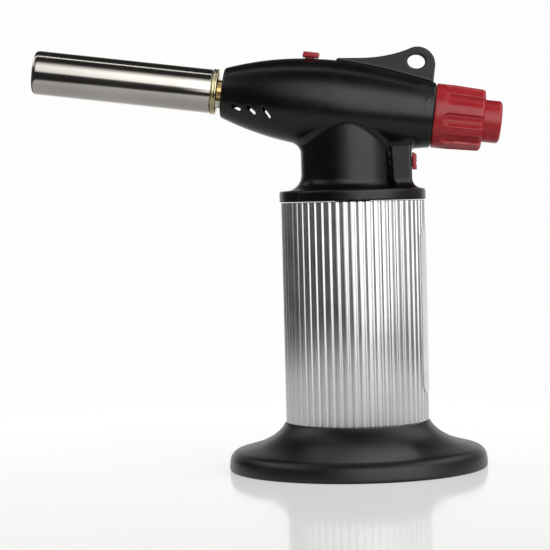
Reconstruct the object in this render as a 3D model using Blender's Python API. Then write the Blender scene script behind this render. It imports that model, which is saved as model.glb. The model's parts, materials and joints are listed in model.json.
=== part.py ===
"""Butane torch: a ribbed grip that holds the fuel tank, and a two-part head that
holds the burner, the gas valve and the piezo ignition.

Frame: +Z up, the burner points towards -X, and the grip's axis is vertical. Every
dimension below is in millimetres, and MM turns it into Blender's metres.
"""

import math

import bmesh
import bpy
from mathutils import Matrix, Vector

MM = 0.001
GAP = 0.3                      # clearance between neighbouring solids
ROUND = 44                     # sides of a large turned part
MID_ROUND = 28                 # sides of a middling one
SMALL_ROUND = 14               # sides of a small turned part
HOLLOW_ROUND = 26              # sides of the housing's cavities

# ---- driving dimensions ---------------------------------------------------

# base and grip
BASE_R = 51.5
BASE_TOP = 18.3
SLEEVE_R = 28.5
SLEEVE_WALL = 0.9
SLEEVE_LOW = BASE_TOP + GAP
SLEEVE_HIGH = 106.1
RIBS = 56
RIB_DEPTH = 0.6
RIB_GROOVE = 0.36              # share of the rib pitch that the groove takes
TANK_R = SLEEVE_R - SLEEVE_WALL - GAP
TANK_WALL = 2.0
TANK_LOW = 16.9
TANK_FLOOR = 4.0
TANK_HIGH = 103.0

# head, on the burner axis: s runs from the nozzle to the knob, 0 over the grip
TILT = math.radians(7.7)       # the nozzle points up by this much
AXIS_Z = 143.9                 # height at which the burner axis crosses the grip axis
NOZZLE_S = -127.3
TUBE_R = 8.8
TUBE_WALL = 0.7
TUBE_END_S = -55.4
RING_R = 9.4
HOUSING_FRONT_S = -51.3
HOUSING_REAR_S = 33.0
SHELL = 2.2                    # wall of the two housing halves
SPLIT = 0.15                   # half of the parting gap
NECK_R = 20.2                  # half of the neck's length, along X
NECK_HALF_Y = 16.6
COLLAR_R = 29.1
COLLAR_LOW = 106.4
COLLAR_HIGH = 110.8
BOSS_HALF_W = 9.0
BOSS_X = 24.2
KNOB_R = 12.8
KNOB_FRONT_S = 33.4
KNOB_REAR_S = 52.9
KNOB_FLUTES = 9
BUTTON_R = 8.4
BUTTON_REAR_S = 60.2
TAB_HALF_T = 2.0               # half of the hanging tab's thickness

CATCH_STEM_LOW = 119.2
CATCH_STEM_HIGH = 123.4

# travel of the moving pieces
BUTTON_TRAVEL = 4.0
CATCH_TRAVEL = 2.5
SLIDE_TRAVEL = 4.0
STEM_TRAVEL = 1.5

# the origin is under the middle of the whole torch, so the grip stands off it
NOSE_X = NOZZLE_S * math.cos(TILT) - TUBE_R * math.sin(TILT)
TAIL_X = BUTTON_REAR_S * math.cos(TILT) + (BUTTON_R - 1.6) * math.sin(TILT)
GRIP_X = -(NOSE_X + TAIL_X) / 2.0

GRIP = Matrix.Translation(Vector((GRIP_X, 0.0, 0.0)) * MM)
BURNER = Matrix.Translation(Vector((GRIP_X, 0.0, AXIS_Z)) * MM) @ Matrix.Rotation(TILT, 4, "Y")


# ---- materials ------------------------------------------------------------

LOOKS = {
    "black_plastic": ((0.030, 0.030, 0.034), 0.42, 0.0),
    "red_plastic": ((0.62, 0.035, 0.045), 0.35, 0.0),
    "ribbed_aluminium": ((0.70, 0.70, 0.72), 0.28, 1.0),
    "burner_steel": ((0.56, 0.54, 0.51), 0.22, 1.0),
    "nickel": ((0.72, 0.66, 0.52), 0.25, 1.0),
    "brass": ((0.78, 0.56, 0.26), 0.30, 1.0),
    "steel": ((0.55, 0.55, 0.56), 0.35, 1.0),
    "label_film": ((0.74, 0.74, 0.76), 0.45, 0.0),
    "tank_plastic": ((0.55, 0.56, 0.58), 0.40, 0.0),
    "seal_rubber": ((0.02, 0.02, 0.02), 0.80, 0.0),
    "ceramic": ((0.80, 0.79, 0.75), 0.50, 0.0),
    "piezo_case": ((0.10, 0.11, 0.16), 0.45, 0.0),
    "lead_sleeve": ((0.60, 0.10, 0.08), 0.60, 0.0),
}


def material(name):
    found = bpy.data.materials.get(name)
    if found:
        return found
    color, roughness, metallic = LOOKS[name]
    made = bpy.data.materials.new(name)
    made.use_nodes = True
    shader = made.node_tree.nodes["Principled BSDF"]
    shader.inputs["Base Color"].default_value = (*color, 1.0)
    shader.inputs["Roughness"].default_value = roughness
    shader.inputs["Metallic"].default_value = metallic
    made.diffuse_color = (*color, 1.0)
    return made


# ---- shape tools ----------------------------------------------------------

def arc(cx, cy, radius, start, end, steps):
    """Points on a circle from one angle to another, in degrees."""
    turn = (math.radians(start + (end - start) * i / steps) for i in range(steps + 1))
    return [(cx + radius * math.cos(a), cy + radius * math.sin(a)) for a in turn]


def bend(start, control, end, steps):
    """A quadratic curve between two points."""
    points = []
    for i in range(steps + 1):
        t = i / steps
        weights = ((1 - t) ** 2, 2 * t * (1 - t), t * t)
        points.append(tuple(sum(w * p[k] for w, p in zip(weights, (start, control, end)))
                            for k in range(2)))
    return points


def make_object(name, mesh_data, look, frame, sharp=32.0):
    """Wraps a bmesh as a named object in the given frame, faces out and shaded smooth."""
    bmesh.ops.remove_doubles(mesh_data, verts=mesh_data.verts, dist=1e-7)
    bmesh.ops.recalc_face_normals(mesh_data, faces=mesh_data.faces)
    mesh = bpy.data.meshes.new(name)
    mesh_data.to_mesh(mesh)
    mesh_data.free()
    mesh.shade_smooth()
    mesh.set_sharp_from_angle(angle=math.radians(sharp))
    made = bpy.data.objects.new(name, mesh)
    bpy.context.scene.collection.objects.link(made)
    if look:
        mesh.materials.append(material(look))
    made.matrix_world = frame
    return made


def loft(name, rings, look, frame, closed=False, sharp=32.0):
    """Skins a run of equal rings of points; the ends are capped, or joined to each other."""
    data = bmesh.new()
    loops = [[data.verts.new(Vector(p) * MM) for p in ring] for ring in rings]
    count = len(loops[0])
    spans = list(zip(loops, loops[1:]))
    if closed:
        spans.append((loops[-1], loops[0]))
    for low, high in spans:
        for i in range(count):
            j = (i + 1) % count
            data.faces.new((low[i], low[j], high[j], high[i]))
    if not closed:
        data.faces.new(loops[0][::-1])
        data.faces.new(loops[-1])
    return make_object(name, data, look, frame, sharp)


def turned(name, profile, look, frame, sides=ROUND, axis="Z", sharp=32.0):
    """Turns a profile of (radius, height) points round the frame's axis.

    A profile that starts and ends on the axis makes a solid, any other one a ring.
    """
    data = bmesh.new()
    columns = []
    for i in range(sides):
        angle = 2 * math.pi * i / sides
        column = []
        for radius, height in profile:
            across = (radius * math.cos(angle), radius * math.sin(angle))
            point = (across[0], across[1], height) if axis == "Z" else (height, across[0], across[1])
            column.append(data.verts.new(Vector(point) * MM))
        columns.append(column)
    solid = profile[0][0] == 0.0 and profile[-1][0] == 0.0
    last = len(profile) - 1 if solid else len(profile)
    for i in range(sides):
        near, far = columns[i], columns[(i + 1) % sides]
        for k in range(last):
            m = (k + 1) % len(profile)
            corners = [near[k], far[k], far[m], near[m]]
            if profile[k][0] == 0.0:
                corners = [near[k], far[m], near[m]]
            elif profile[m][0] == 0.0:
                corners = [near[k], far[k], near[m]]
            data.faces.new(corners)
    return make_object(name, data, look, frame, sharp)


def plate(name, outline, low, high, look, frame, along="Y", sharp=32.0):
    """Extrudes an outline between two planes; the outline is (x, z), or (x, y) along Z."""
    def place(point, depth):
        if along == "Y":
            return (point[0], depth, point[1])
        if along == "X":
            return (depth, point[0], point[1])
        return (point[0], point[1], depth)
    return loft(name, [[place(p, d) for p in outline] for d in (low, high)], look, frame, sharp=sharp)


def block(name, low, high, look, frame):
    """A plain box between two corners."""
    outline = [(low[0], low[1]), (high[0], low[1]), (high[0], high[1]), (low[0], high[1])]
    return plate(name, outline, low[2], high[2], look, frame, along="Z")


def swept(name, route, radius, look, frame, sides=8, sharp=60.0):
    """A round bar along a route of points, with flat ends."""
    points = [Vector(p) for p in route]
    rings = []
    side = None
    for i, point in enumerate(points):
        ahead = (points[min(i + 1, len(points) - 1)] - points[max(i - 1, 0)]).normalized()
        if side is None:
            side = ahead.orthogonal().normalized()
        side = (side - ahead * side.dot(ahead)).normalized()
        other = ahead.cross(side)
        rings.append([point + (side * math.cos(2 * math.pi * k / sides)
                               + other * math.sin(2 * math.pi * k / sides)) * radius
                      for k in range(sides)])
    return loft(name, rings, look, frame, sharp=sharp)


def coil(name, centre, axis, length, radius, wire, turns, look, frame, steps=8, sides=4):
    """A compression spring that starts at centre and runs along the axis for length."""
    ahead = Vector(axis).normalized()
    side = ahead.orthogonal().normalized()
    other = ahead.cross(side)
    total = int(turns * steps)
    route = []
    for i in range(total + 1):
        turn = 2 * math.pi * i / steps
        route.append(Vector(centre) + ahead * (wire + (length - 2 * wire) * i / total)
                     + (side * math.cos(turn) + other * math.sin(turn)) * radius)
    return swept(name, route, wire, look, frame, sides=sides)


def smooth_route(points, steps=6):
    """A smooth curve through the given points, as Catmull-Rom spans."""
    knots = [Vector(p) for p in points]
    knots = [2 * knots[0] - knots[1]] + knots + [2 * knots[-1] - knots[-2]]
    route = []
    for a, b, c, d in zip(knots, knots[1:], knots[2:], knots[3:]):
        for i in range(steps):
            t = i / steps
            route.append(0.5 * (2 * b + (c - a) * t + (2 * a - 5 * b + 4 * c - d) * t * t
                                + (3 * b - a - 3 * c + d) * t ** 3))
    route.append(knots[-2])
    return route


def boolean(target, tool, operation="DIFFERENCE"):
    """Adds a live Boolean to a piece and turns its tool into a hidden guide."""
    step = target.modifiers.new(tool.name, "BOOLEAN")
    step.operation = operation
    step.object = tool
    tool.hide_render = True
    tool.display_type = "WIRE"
    return target


def tidy_slivers(piece):
    """Merges the near-equal points that a long run of cuts leaves behind."""
    piece.modifiers.new("slivers", "WELD").merge_threshold = 5e-6


def union(pieces):
    """Fuses several solids into the first one."""
    body, *others = pieces
    for other in others:
        boolean(body, other, "UNION")
    return body


def hidden_block(name, low, high, frame):
    return block(name, low, high, None, frame)


def hidden_bar(name, start, end, radius, frame, sides=SMALL_ROUND):
    return swept(name, [start, end], radius, None, frame, sides=sides)


# ---- base and tank --------------------------------------------------------

BASE_SCREW_RING = 20.0
FLOOR_LOW = 14.0               # the clamping floor, which is screwed to the tank
FLOOR_HIGH = TANK_LOW - GAP
FLANGE_R = 29.4                # the floor's flange, under the foot's inner ledge
LEDGE_LOW = 14.6
WELL_R = 12.0                  # skirt round the refill valve, on the bottom cover
COVER_R = 48.2
COVER_LOW = 0.5
COVER_HIGH = 2.1


def base_screw_places():
    for i in range(3):
        angle = math.radians(60 + 120 * i)
        yield i + 1, BASE_SCREW_RING * math.cos(angle), BASE_SCREW_RING * math.sin(angle)


def make_base():
    flare = bend((29.0, BASE_TOP), (32.5, 12.0), (44.0, 9.0), 5)
    shoulder = bend((44.0, 9.0), (50.9, 7.6), (51.4, 3.6), 3)
    bore = TANK_R + GAP
    under = [(50.8, 0.0), (48.6, 0.0), (48.6, 3.6), (42.8, 6.6), (35.5, 8.9), (29.9, 11.6),
             (29.9, LEDGE_LOW), (bore, LEDGE_LOW), (bore, BASE_TOP)]
    turned("base_foot", flare + shoulder[1:] + [(BASE_R, 1.2)] + under, "black_plastic", GRIP)
    flange_low, flange_high = LEDGE_LOW - GAP - 2.2, LEDGE_LOW - GAP
    floor_outline = [(6.8, FLOOR_LOW), (6.8, FLOOR_HIGH), (TANK_R, FLOOR_HIGH), (TANK_R, flange_high),
                     (FLANGE_R, flange_high), (FLANGE_R, flange_low), (TANK_R - 1.2, flange_low),
                     (TANK_R - 1.2, FLOOR_LOW)]
    floor = turned("base_floor", floor_outline, "black_plastic", GRIP)
    skirt = WELL_R + 1.4
    cover = [(WELL_R, COVER_LOW), (COVER_R, COVER_LOW), (COVER_R, COVER_HIGH), (skirt, COVER_HIGH),
             (skirt, FLOOR_LOW - GAP), (WELL_R, FLOOR_LOW - GAP)]
    turned("base_cover", cover, "black_plastic", GRIP)
    for number, x, y in base_screw_places():
        boolean(floor, hidden_bar(f"cut_floor_{number}", (x, y, 13.0), (x, y, 17.5), 1.7, GRIP))
        screw = [(0.0, 12.8), (0.9, 12.8), (0.9, 11.7), (2.4, 11.7), (2.8, 12.1), (2.8, 13.7),
                 (1.3, 13.7), (1.3, 19.6), (0.9, 20.0), (0.0, 20.0)]
        turned(f"base_screw_{number}", screw, "steel", GRIP @ Matrix.Translation(Vector((x, y, 0)) * MM),
               sides=10)


def make_tank():
    inside = TANK_R - TANK_WALL
    floor = TANK_LOW + TANK_FLOOR
    cup = [(4.2, TANK_LOW), (TANK_R, TANK_LOW), (TANK_R, TANK_HIGH), (inside, TANK_HIGH),
           (inside, floor), (4.2, floor)]
    tank = turned("fuel_tank", cup, "tank_plastic", GRIP, sides=MID_ROUND)
    for number, x, y in base_screw_places():
        boolean(tank, hidden_bar(f"cut_tank_{number}", (x, y, 16.0), (x, y, 20.4), 1.6, GRIP))
    plug = inside - GAP
    groove = plug - 1.8
    lid = [(2.2, 97.5), (plug, 97.5), (plug, 99.0), (groove, 99.0), (groove, 101.4), (plug, 101.4),
           (plug, TANK_HIGH + GAP), (TANK_R, TANK_HIGH + GAP), (TANK_R, 106.0), (7.0, 106.0),
           (6.4, 112.0), (2.2, 112.0)]
    turned("tank_lid", lid, "tank_plastic", GRIP, sides=MID_ROUND)
    seal = arc(groove + GAP + 0.75, 100.2, 0.75, 0, 300, 5)
    turned("tank_seal", seal, "seal_rubber", GRIP, sides=MID_ROUND)
    route = smooth_route([(0, 0, 96.8), (0.6, 0, 92.0), (7.5, 0, 82.0), (9.0, 0, 70.0), (9.0, 0, 45.0),
                          (9.0, 0, 23.0)], steps=3)
    swept("fuel_pickup_tube", route, 1.2, "tank_plastic", GRIP)


def make_filler_valve():
    bottom, throat, top = 14.9, 18.4, 31.5
    body = [(1.8, bottom), (3.9, bottom), (3.9, 22.6), (6.0, 22.6), (6.0, 24.4), (3.9, 24.4), (3.9, top),
            (0.9, top), (0.9, top - 1.2), (2.9, top - 1.2), (2.9, throat), (1.8, throat)]
    turned("filler_valve_body", body, "brass", GRIP, sides=SMALL_ROUND)
    turned("filler_seal", [(4.2, 21.2), (6.0, 21.2), (6.0, 22.3), (4.2, 22.3)], "seal_rubber", GRIP,
           sides=SMALL_ROUND)
    shoulder = throat + GAP
    stem = [(0.0, 12.2), (1.2, 12.2), (1.5, 12.5), (1.5, shoulder), (2.5, shoulder), (2.5, shoulder + 1.5),
            (1.0, shoulder + 1.5), (1.0, shoulder + 3.9), (0.0, shoulder + 3.9)]
    turned("filler_stem", stem, "brass", GRIP, sides=SMALL_ROUND)
    spring_low = shoulder + 1.5 + GAP
    coil("filler_spring", (0, 0, spring_low), (0, 0, 1), top - 1.2 - GAP - spring_low, 2.0, 0.35, 5,
         "steel", GRIP)


def make_grip():
    pitch = 2 * math.pi / RIBS
    flat, groove = pitch * (1 - RIB_GROOVE), pitch * RIB_GROOVE
    steps = [(0.0, 0.0), (flat, 0.0), (flat + groove * 0.3, RIB_DEPTH), (flat + groove * 0.7, RIB_DEPTH)]
    angles = [(pitch * i + turn, depth) for i in range(RIBS) for turn, depth in steps]

    def ring(radius, height, ribbed):
        return [((radius - depth * ribbed) * math.cos(a), (radius - depth * ribbed) * math.sin(a), height)
                for a, depth in angles]

    bore = SLEEVE_R - SLEEVE_WALL
    rings = [ring(SLEEVE_R, SLEEVE_LOW, 1), ring(SLEEVE_R, SLEEVE_HIGH, 1),
             ring(bore, SLEEVE_HIGH, 0), ring(bore, SLEEVE_LOW, 0)]
    loft("grip_sleeve", rings, "ribbed_aluminium", GRIP, closed=True, sharp=15.0)
    outside, half_turn = SLEEVE_R + 2 * GAP, 26
    outline = (arc(0, 0, outside, -half_turn, half_turn, 14)
               + arc(0, 0, outside - GAP, half_turn, -half_turn, 14))
    plate("rear_label", outline, 30.0, 95.0, "label_film", GRIP, along="Z")


# ---- head housing ---------------------------------------------------------

HEAD_PEAK = (-9.0, 17.6)       # the widest place of the head: (s, radius)
NOSE = (HOUSING_FRONT_S, 9.8)
TAIL = (HOUSING_REAR_S, 12.8)
BULKHEAD = (-27.0, -25.0)      # inner wall that carries the mixer tube
MIXER_R = 4.9
HOUSING_SCREWS = [("1", BURNER, -30.0, 9.3), ("2", BURNER, 14.0, 10.0),
                  ("3", GRIP, -13.0, 119.0), ("4", GRIP, 12.0, 119.0)]
PILLAR_R = 3.8


def head_outline(offset, low, high, steps=6):
    """The head's turned outline between two stations, as (radius - offset, s)."""
    front = bend(NOSE, (-31.0, 17.4), HEAD_PEAK, steps)
    rear = bend(HEAD_PEAK, (6.0, 17.8), TAIL, steps)
    curve = front + rear[1:]

    def radius_at(s):
        for (s0, r0), (s1, r1) in zip(curve, curve[1:]):
            if s0 <= s <= s1:
                return r0 + (r1 - r0) * (s - s0) / (s1 - s0)
        return curve[-1][1]

    inner = [(r - offset, s) for s, r in curve if low + 0.5 < s < high - 0.5]
    return [(radius_at(low) - offset, low)] + inner + [(radius_at(high) - offset, high)]


def oval_rings(half_x, half_y, levels, sides=ROUND):
    """Level rings of an oval column; each level is (height, extra)."""
    return [[((half_x + extra) * math.cos(2 * math.pi * i / sides),
              (half_y + extra) * math.sin(2 * math.pi * i / sides), height) for i in range(sides)]
            for height, extra in levels]


def head_body(side):
    """The outer shape of the head, before it is hollowed and split."""
    radius, front = NOSE[1], HOUSING_FRONT_S
    nose_edge = [(0.0, front), (radius - 0.6, front), (radius, front + 0.6)]
    outline = nose_edge + head_outline(0, front + 2.0, HOUSING_REAR_S - 0.4) + [
        (TAIL[1] - 0.4, HOUSING_REAR_S), (0.0, HOUSING_REAR_S)]
    head = turned(f"housing_{side}", outline, "black_plastic", BURNER, axis="X")
    fillet = 4.5
    foot = COLLAR_HIGH + fillet
    levels = [(COLLAR_HIGH - 1.7, fillet + 0.9)]
    for i in range(1, 5):
        height = COLLAR_HIGH + fillet * i / 4
        levels.append((height, fillet - math.sqrt(max(fillet ** 2 - (foot - height) ** 2, 0.0))))
    levels.append((139.5, 0.0))
    neck = loft(f"neck_{side}", oval_rings(NECK_R, NECK_HALF_Y, levels), None, GRIP)
    boss = hidden_block(f"boss_{side}", (3, -BOSS_HALF_W, 107.7), (BOSS_X, BOSS_HALF_W, 133.6), GRIP)
    collar_outline = [(0.0, COLLAR_LOW), (COLLAR_R - 0.3, COLLAR_LOW), (COLLAR_R, COLLAR_LOW + 0.3),
                      (COLLAR_R, COLLAR_HIGH - 0.8), (COLLAR_R - 0.3, COLLAR_HIGH - 0.2),
                      (COLLAR_R - 0.9, COLLAR_HIGH), (0.0, COLLAR_HIGH)]
    collar = turned(f"collar_{side}", collar_outline, None, GRIP, sides=MID_ROUND + 12)
    return union([head, neck, boss, collar, hanging_tab(side)])


def hanging_tab(side):
    """The flat tab on top, with its outline in (s, height over the burner axis)."""
    eye_s, eye_t, eye_r = 24.6, 19.3, 7.1
    root = [(s, r) for r, s in head_outline(1.0, -7.4, 31.5)]
    crown = arc(eye_s, eye_t, eye_r, 0, 120, 9)
    slope = bend(crown[-1], (12.0, 20.4), (-0.6, 19.25), 7)
    outline = root + crown + slope[1:] + [(-7.4, 18.5)]
    return plate(f"tab_{side}", outline, -TAB_HALF_T, TAB_HALF_T, None, BURNER)


def head_hollow(side):
    """The cavity of the head, with the screw pillars left standing."""
    wall = SHELL
    outline = [(0.0, HOUSING_FRONT_S - 1.2), (8.5, HOUSING_FRONT_S - 1.2), (8.5, -49.0)]
    outline += head_outline(wall, -48.0, BULKHEAD[0], steps=4)
    outline += [(MIXER_R + GAP, BULKHEAD[0]), (MIXER_R + GAP, BULKHEAD[1])]
    outline += head_outline(wall, BULKHEAD[1], HOUSING_REAR_S - wall, steps=4)
    outline += [(6.8, HOUSING_REAR_S - wall), (6.8, HOUSING_REAR_S + 1.0), (0.0, HOUSING_REAR_S + 1.0)]
    hollow = turned(f"hollow_head_{side}", outline, None, BURNER, axis="X", sides=HOLLOW_ROUND)
    rings = oval_rings(NECK_R - wall, NECK_HALF_Y - wall, [(COLLAR_LOW - 1, 0), (138.0, 0)], HOLLOW_ROUND)
    neck = loft(f"hollow_neck_{side}", rings, None, GRIP)
    boss = hidden_block(f"hollow_boss_{side}", (8, 2 * GAP + wall - BOSS_HALF_W, 112.1),
                        (BOSS_X - wall, BOSS_HALF_W - wall - 2 * GAP, 131), GRIP)
    lead = hidden_bar(f"hollow_lead_{side}", (-28, -5.6, -3.4), (-24, -5.6, -3.4), 1.3, BURNER)
    union([hollow, neck, boss, lead])
    for number, frame, x, z in HOUSING_SCREWS:
        boolean(hollow, hidden_bar(f"pillar_{side}_{number}", (x, -20, z), (x, 20, z), PILLAR_R, frame))
    return hollow


def air_slots(side):
    """Slanted slots that let air in to the mixer tube, cut through both sides."""
    half_w, lean = 1.1, 2.2
    slots = []
    for i in range(3):
        middle, low, high = -43.6 + 6.1 * i, -7.4 - 0.9 * i, -2.6 + 0.3 * i
        outline = [(middle + lean - half_w, low), (middle + lean + half_w, low),
                   (middle - lean + half_w, high), (middle - lean - half_w, high)]
        slots.append(plate(f"slot_{side}_{i}", outline, -25, 25, None, BURNER))
    return slots


def make_housing(side, sign):
    half = head_body(side)
    boolean(half, head_hollow(side))
    for slot in air_slots(side):
        boolean(half, slot)
    eye = [(24.0 + 3.5 * math.cos(2 * math.pi * i / 16), 20.4 + 2.75 * math.sin(2 * math.pi * i / 16))
           for i in range(16)]
    boolean(half, plate(f"eye_{side}", eye, -6, 6, None, BURNER))
    boolean(half, hidden_block(f"lock_way_{side}", (-20.4, -2.6, 12), (-12.1, 2.6, 19), BURNER))
    boolean(half, hidden_block(f"catch_way_{side}", (21, -2.5, CATCH_STEM_LOW - CATCH_TRAVEL - GAP),
                               (25, 2.5, CATCH_STEM_HIGH + GAP), GRIP))
    for number, frame, x, z in HOUSING_SCREWS:
        reach = (-8.0, 25.0) if sign < 0 else (-5.0, 25.0)
        boolean(half, hidden_bar(f"bore_{side}_{number}", (x, reach[0], z), (x, reach[1], z), 1.45, frame))
        if sign > 0:
            boolean(half, hidden_bar(f"sink_{side}_{number}", (x, 6.0, z), (x, 25.0, z), 2.75, frame))
    low, high = (-SPLIT, 60.0) if sign < 0 else (-60.0, SPLIT)
    boolean(half, hidden_block(f"other_side_{side}", (-120, low, 80), (120, high, 200), GRIP))
    tidy_slivers(half)


def make_housing_screws():
    """Screws from the far side; each one turns its head down in its own frame's +Y."""
    for number, frame, x, z in HOUSING_SCREWS:
        screw = [(0.0, -7.0), (0.7, -7.0), (1.1, -6.4), (1.1, 6.3), (2.35, 6.3), (2.35, 8.0),
                 (2.0, 8.4), (0.9, 8.4), (0.9, 7.4), (0.0, 7.4)]
        place = frame @ Matrix.Translation(Vector((x, 0, z)) * MM) @ Matrix.Rotation(math.radians(90), 4, "Z")
        turned(f"housing_screw_{number}", screw, "steel", place, sides=10, axis="X")


# ---- burner ---------------------------------------------------------------

ROD_Y, ROD_T = -4.46, -5.0     # the electrode's place beside the mixer tube
BURNER_SIDES = 28


def make_burner():
    wall = TUBE_R - TUBE_WALL
    lip = [(wall - 0.1, NOZZLE_S + 0.25), (wall + 0.1, NOZZLE_S), (TUBE_R - 0.15, NOZZLE_S + 0.15),
           (TUBE_R, NOZZLE_S + 0.8)]
    tube = lip + [(TUBE_R, TUBE_END_S - GAP), (wall, TUBE_END_S - GAP), (wall, NOZZLE_S + 1.2)]
    turned("burner_tube", tube, "burner_steel", BURNER, sides=BURNER_SIDES, axis="X")

    bore, plug = MIXER_R + GAP, wall - GAP
    s = TUBE_END_S
    ring = [(bore, s - 1.8), (plug, s - 1.8), (plug, s), (9.0, s), (9.2, s + 0.3), (9.2, s + 0.9),
            (8.9, s + 1.05), (9.2, s + 1.2), (9.2, s + 1.9), (9.0, s + 2.2), (bore, s + 2.2)]
    made = turned("burner_ring", ring, "nickel", BURNER, sides=BURNER_SIDES, axis="X")
    boolean(made, hidden_bar("cut_ring", (s - 3, ROD_Y, ROD_T), (s + 3, ROD_Y, ROD_T), 1.8, BURNER))

    mixer = [(MIXER_R - 0.7, -62.0), (MIXER_R, -62.0), (MIXER_R, -16.0), (MIXER_R - 0.7, -16.0)]
    tube = turned("mixer_tube", mixer, "brass", BURNER, sides=20, axis="X")
    boolean(tube, hidden_bar("cut_air_side", (-31, -8, 0), (-31, 8, 0), 1.6, BURNER))
    boolean(tube, hidden_bar("cut_air_top", (-31, 0, -8), (-31, 0, 8), 1.6, BURNER))

    jet = [(0.0, -29.0), (0.9, -29.0), (1.5, -27.6), (1.5, -22.0), (3.9, -22.0), (3.9, -14.5), (0.0, -14.5)]
    turned("gas_jet", jet, "brass", BURNER, sides=SMALL_ROUND, axis="X")

    holder = turned("flame_holder", [(0.0, -70.0), (7.9, -70.0), (7.9, -67.5), (0.0, -67.5)],
                    "steel", BURNER, sides=20, axis="X")
    places = [(0.0, 0.0)] + [(5.0 * math.cos(math.radians(60 * i)), 5.0 * math.sin(math.radians(60 * i)))
                             for i in range(6)]
    for i, (y, t) in enumerate(places):
        boolean(holder, hidden_bar(f"cut_holder_{i}", (-72, y, t), (-65, y, t), 1.3, BURNER, sides=6))


def make_electrode():
    rod = [(0.8, -54.9), (1.3, -54.9), (1.5, -54.6), (1.5, -47.0), (0.8, -47.0)]
    turned("electrode_insulator", rod, "ceramic",
           BURNER @ Matrix.Translation(Vector((0, ROD_Y, ROD_T)) * MM), sides=16, axis="X")
    route = smooth_route([(-47.3, ROD_Y, ROD_T), (-59.0, ROD_Y, ROD_T), (-62.5, ROD_Y + 0.2, ROD_T),
                          (-64.6, -2.4, -2.7)], steps=3)
    swept("electrode_wire", route, 0.42, "steel", BURNER, sides=6)
    route = smooth_route([(-4.4, 0, 0), (-7.0, -2.0, -0.6), (-11.5, -5.6, -2.2), (-18.0, -6.4, -3.4),
                          (-24.0, -5.6, -3.4), (-28.0, -5.6, -3.4), (-36.0, -5.7, -3.5),
                          (-42.0, -5.5, -4.0), (-46.6, ROD_Y, ROD_T)], steps=3)
    swept("igniter_lead", route, 0.85, "lead_sleeve", BURNER)


# ---- gas valve, knob and gears -------------------------------------------

VALVE_T = -8.9                 # the valve's axis, under the burner axis
GEAR_TEETH = 26
PINION_TEETH = 10
GEAR_S = (22.6, 25.4)
PINION_S = (22.8, 24.8)
GEAR_MODULE = 2 * abs(VALVE_T) / (GEAR_TEETH + PINION_TEETH)


def gear_ring(teeth, middle, station, shift):
    """A ring of teeth across the burner axis; shift turns it by a share of one pitch."""
    tip = GEAR_MODULE * (teeth / 2 + 0.40)
    root = GEAR_MODULE * (teeth / 2 - 0.75)
    pitch = 2 * math.pi / teeth
    ring = []
    for i in range(teeth):
        for turn, radius in ((-0.26, root), (-0.12, tip), (0.12, tip), (0.26, root)):
            angle = pitch * (i + turn + shift)
            ring.append((station, radius * math.cos(angle), middle + radius * math.sin(angle)))
    return ring


def gear(name, teeth, bore, middle, shift, span, look):
    """A spur gear with a round bore."""
    count = teeth * 4

    def bore_ring(station):
        outer = gear_ring(teeth, middle, station, shift)
        turns = [math.atan2(z - middle, y) for _, y, z in outer]
        return [(station, bore * math.cos(a), middle + bore * math.sin(a)) for a in turns[:count]]

    low, high = span
    rings = [gear_ring(teeth, middle, low, shift), gear_ring(teeth, middle, high, shift),
             bore_ring(high), bore_ring(low)]
    return loft(name, rings, look, BURNER, closed=True, sharp=20.0)


def make_valve():
    body = [(0.0, -9.0), (3.0, -9.0), (3.0, -7.4), (3.9, -7.4), (3.9, 6.6), (3.2, 6.6), (3.2, 8.0),
            (2.1, 8.0), (2.1, -4.0), (0.0, -4.0)]
    valve_frame = BURNER @ Matrix.Translation(Vector((0, 0, VALVE_T)) * MM)
    turned("valve_body", body, "brass", valve_frame, sides=24, axis="X")
    spindle = [(0.0, -3.2), (0.6, -3.2), (1.8, -0.4), (1.8, 20.0), (1.4, 20.4), (1.4, 26.8), (1.1, 27.1),
               (0.0, 27.1)]
    turned("valve_spindle", spindle, "brass", valve_frame, sides=SMALL_ROUND, axis="X")
    turned("riser_tube", [(1.0, 98.0), (1.7, 98.0), (1.7, 130.6), (1.0, 130.6)], "brass", GRIP, sides=16)
    route = smooth_route([(-14.2, 0, 0), (-12.6, 0, -0.6), (-11.6, 0, -3.4), (-11.6, 0, -6.2),
                          (-11.0, 0, -8.4), (-9.3, 0, VALVE_T)], steps=3)
    swept("gas_tube", route, 1.0, "brass", BURNER)
    # the gear's tooth points straight down at the pinion's gap
    down = -0.25 * GEAR_TEETH
    up = 0.25 * PINION_TEETH + 0.5
    gear("valve_pinion", PINION_TEETH, 1.7, VALVE_T, up, PINION_S, "brass")
    gear("knob_gear_teeth", GEAR_TEETH, 5.5, 0.0, down, GEAR_S, "red_plastic")


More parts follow.
